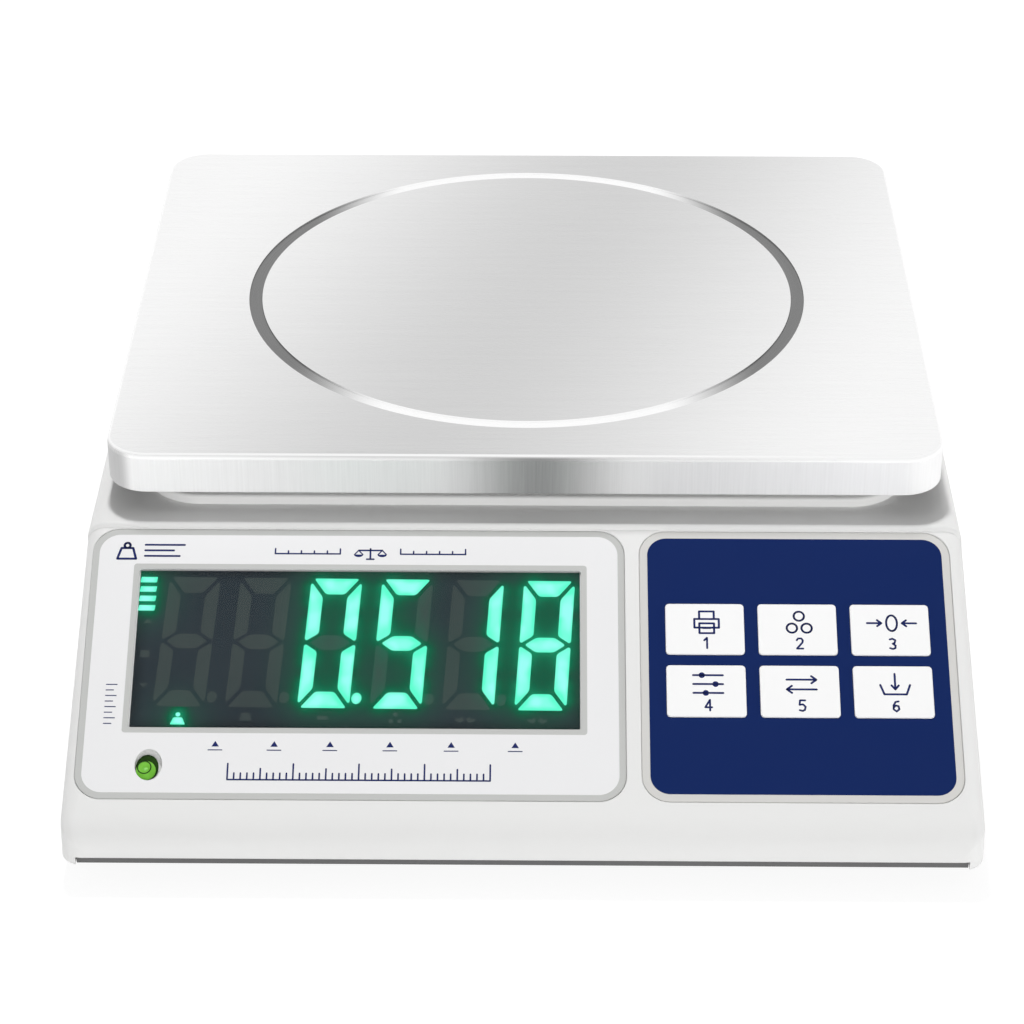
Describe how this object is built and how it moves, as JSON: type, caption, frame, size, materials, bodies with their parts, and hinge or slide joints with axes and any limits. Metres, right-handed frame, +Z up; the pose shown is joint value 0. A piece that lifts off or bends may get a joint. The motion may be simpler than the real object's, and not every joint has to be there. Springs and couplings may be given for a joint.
{
  "type": "bench weighing scale",
  "caption": "Bench weighing scale: brushed steel pan on a load cell, white housing with a sloping front holding an LED display, a keypad with a print key and a bubble level.",
  "frame": {"origin": "middle of the footprint, on the surface that the feet stand on", "axes": "+X to the user's right, +Y away from the user, -Y is the front with the display and keys, +Z up"},
  "size_m": [0.294, 0.346, 0.099],
  "materials": {
    "housing_white": "fine satin moulded ABS, white",
    "base_grey": "fine textured moulded ABS, dark grey",
    "stainless": "straight brushed stainless sheet",
    "cast_aluminium": "cast and milled aluminium",
    "zinc_steel": "zinc plated steel",
    "label_white": "printed polycarbonate sheet, pale grey",
    "keypad_blue": "printed polycarbonate sheet, navy blue",
    "key_white": "satin white key caps",
    "window_tint": "smoked acrylic",
    "led_black": "black LED module with green segments",
    "board_green": "green solder mask",
    "black_plastic": "black moulded plastic",
    "rubber": "black rubber",
    "level_green": "clear acrylic with green liquid",
    "battery_grey": "dark battery case",
    "cable_grey": "grey cable sheath"
  },
  "bodies": {
    "root": {"battery": "battery_grey", "battery_strap": "zinc_steel", "bottom_housing": "base_grey", "cell_bolt_1": "zinc_steel", "cell_bolt_2": "zinc_steel", "chassis": "zinc_steel", "display_board": "board_green", "display_label": "label_white", "display_lead": "cable_grey", "display_window": "window_tint", "foot_nut_front_left": "zinc_steel", "foot_nut_front_right": "zinc_steel", "foot_nut_rear_left": "zinc_steel", "foot_nut_rear_right": "zinc_steel", "housing_screw_1": "zinc_steel", "housing_screw_2": "zinc_steel", "housing_screw_3": "zinc_steel", "housing_screw_4": "zinc_steel", "housing_screw_5": "zinc_steel", "housing_screw_6": "zinc_steel", "keypad_board": "board_green", "keypad_label": "keypad_blue", "keypad_lead": "cable_grey", "led_display": "led_black", "level_clip": "black_plastic", "level_vial": "level_green", "load_cell": "cast_aluminium", "load_cell_block": "cast_aluminium", "load_cell_lead": "cable_grey", "main_board": "board_green", "overload_stop": "zinc_steel", "power_jack": "black_plastic", "power_lead": "cable_grey", "serial_port": "zinc_steel", "switch_housing": "black_plastic", "top_housing": "housing_white"},
    "weighing_pan": {"weighing_pan": "stainless"},
    "platform": {"pan_spider": "cast_aluminium", "pan_tray": "housing_white", "spider_bolt_1": "zinc_steel", "spider_bolt_2": "zinc_steel", "pan_cushion_1": "rubber", "pan_cushion_2": "rubber", "pan_cushion_3": "rubber", "pan_cushion_4": "rubber"},
    "power_rocker": {"power_rocker": "black_plastic"},
    "print_key": {"print_key": "key_white"},
    "count_key": {"count_key": "key_white"},
    "zero_key": {"zero_key": "key_white"},
    "function_key": {"function_key": "key_white"},
    "unit_key": {"unit_key": "key_white"},
    "tare_key": {"tare_key": "key_white"},
    "foot_sole_front_left": {"foot_sole_front_left": "rubber"},
    "foot_screw_front_left": {"foot_screw_front_left": "black_plastic"},
    "foot_sole_front_right": {"foot_sole_front_right": "rubber"},
    "foot_screw_front_right": {"foot_screw_front_right": "black_plastic"},
    "foot_sole_rear_left": {"foot_sole_rear_left": "rubber"},
    "foot_screw_rear_left": {"foot_screw_rear_left": "black_plastic"},
    "foot_sole_rear_right": {"foot_sole_rear_right": "rubber"},
    "foot_screw_rear_right": {"foot_screw_rear_right": "black_plastic"}
  },
  "joints": [
    {"name": "platform_deflect", "type": "slide", "parent": "root", "child": "platform", "axis": [0, 0, 1], "range_m": [-0.0005, 0], "stiffness_N_per_m": 200000, "deforming": ["load_cell"]},
    {"name": "pan_lift", "type": "slide", "parent": "platform", "child": "weighing_pan", "axis": [0, 0, 1], "range_m": [0, 0.05]},
    {"name": "power_switch", "type": "hinge", "parent": "root", "child": "power_rocker", "pos_m": [0.03, 0.1635, 0.039], "axis": [0, 0, 1], "range_deg": [-20, 0]},
    {"name": "print_press", "type": "slide", "parent": "root", "child": "print_key", "axis": [0, 0.4848, -0.8746], "range_m": [0, 0.0005], "stiffness_N_per_m": 2000},
    {"name": "count_press", "type": "slide", "parent": "root", "child": "count_key", "axis": [0, 0.4848, -0.8746], "range_m": [0, 0.0005], "stiffness_N_per_m": 2000},
    {"name": "zero_press", "type": "slide", "parent": "root", "child": "zero_key", "axis": [0, 0.4848, -0.8746], "range_m": [0, 0.0005], "stiffness_N_per_m": 2000},
    {"name": "function_press", "type": "slide", "parent": "root", "child": "function_key", "axis": [0, 0.4848, -0.8746], "range_m": [0, 0.0005], "stiffness_N_per_m": 2000},
    {"name": "unit_press", "type": "slide", "parent": "root", "child": "unit_key", "axis": [0, 0.4848, -0.8746], "range_m": [0, 0.0005], "stiffness_N_per_m": 2000},
    {"name": "tare_press", "type": "slide", "parent": "root", "child": "tare_key", "axis": [0, 0.4848, -0.8746], "range_m": [0, 0.0005], "stiffness_N_per_m": 2000},
    {"name": "foot_height_front_left", "type": "slide", "parent": "root", "child": "foot_sole_front_left", "axis": [0, 0, 1], "range_m": [-0.005, 0]},
    {"name": "foot_turn_front_left", "type": "hinge", "parent": "foot_sole_front_left", "child": "foot_screw_front_left", "pos_m": [-0.103, -0.145, 0.003], "axis": [0, 0, 1], "range_deg": [-1440, 0]},
    {"name": "foot_height_front_right", "type": "slide", "parent": "root", "child": "foot_sole_front_right", "axis": [0, 0, 1], "range_m": [-0.005, 0]},
    {"name": "foot_turn_front_right", "type": "hinge", "parent": "foot_sole_front_right", "child": "foot_screw_front_right", "pos_m": [0.103, -0.145, 0.003], "axis": [0, 0, 1], "range_deg": [-1440, 0]},
    {"name": "foot_height_rear_left", "type": "slide", "parent": "root", "child": "foot_sole_rear_left", "axis": [0, 0, 1], "range_m": [-0.005, 0]},
    {"name": "foot_turn_rear_left", "type": "hinge", "parent": "foot_sole_rear_left", "child": "foot_screw_rear_left", "pos_m": [-0.103, 0.145, 0.003], "axis": [0, 0, 1], "range_deg": [-1440, 0]},
    {"name": "foot_height_rear_right", "type": "slide", "parent": "root", "child": "foot_sole_rear_right", "axis": [0, 0, 1], "range_m": [-0.005, 0]},
    {"name": "foot_turn_rear_right", "type": "hinge", "parent": "foot_sole_rear_right", "child": "foot_screw_rear_right", "pos_m": [0.103, 0.145, 0.003], "axis": [0, 0, 1], "range_deg": [-1440, 0]}
  ],
  "couplings": [
    {"joint": "foot_turn_front_left", "follows": "foot_height_front_left", "rad_per_m": 5026.5},
    {"joint": "foot_turn_front_right", "follows": "foot_height_front_right", "rad_per_m": 5026.5},
    {"joint": "foot_turn_rear_left", "follows": "foot_height_rear_left", "rad_per_m": 5026.5},
    {"joint": "foot_turn_rear_right", "follows": "foot_height_rear_right", "rad_per_m": 5026.5}
  ]
}
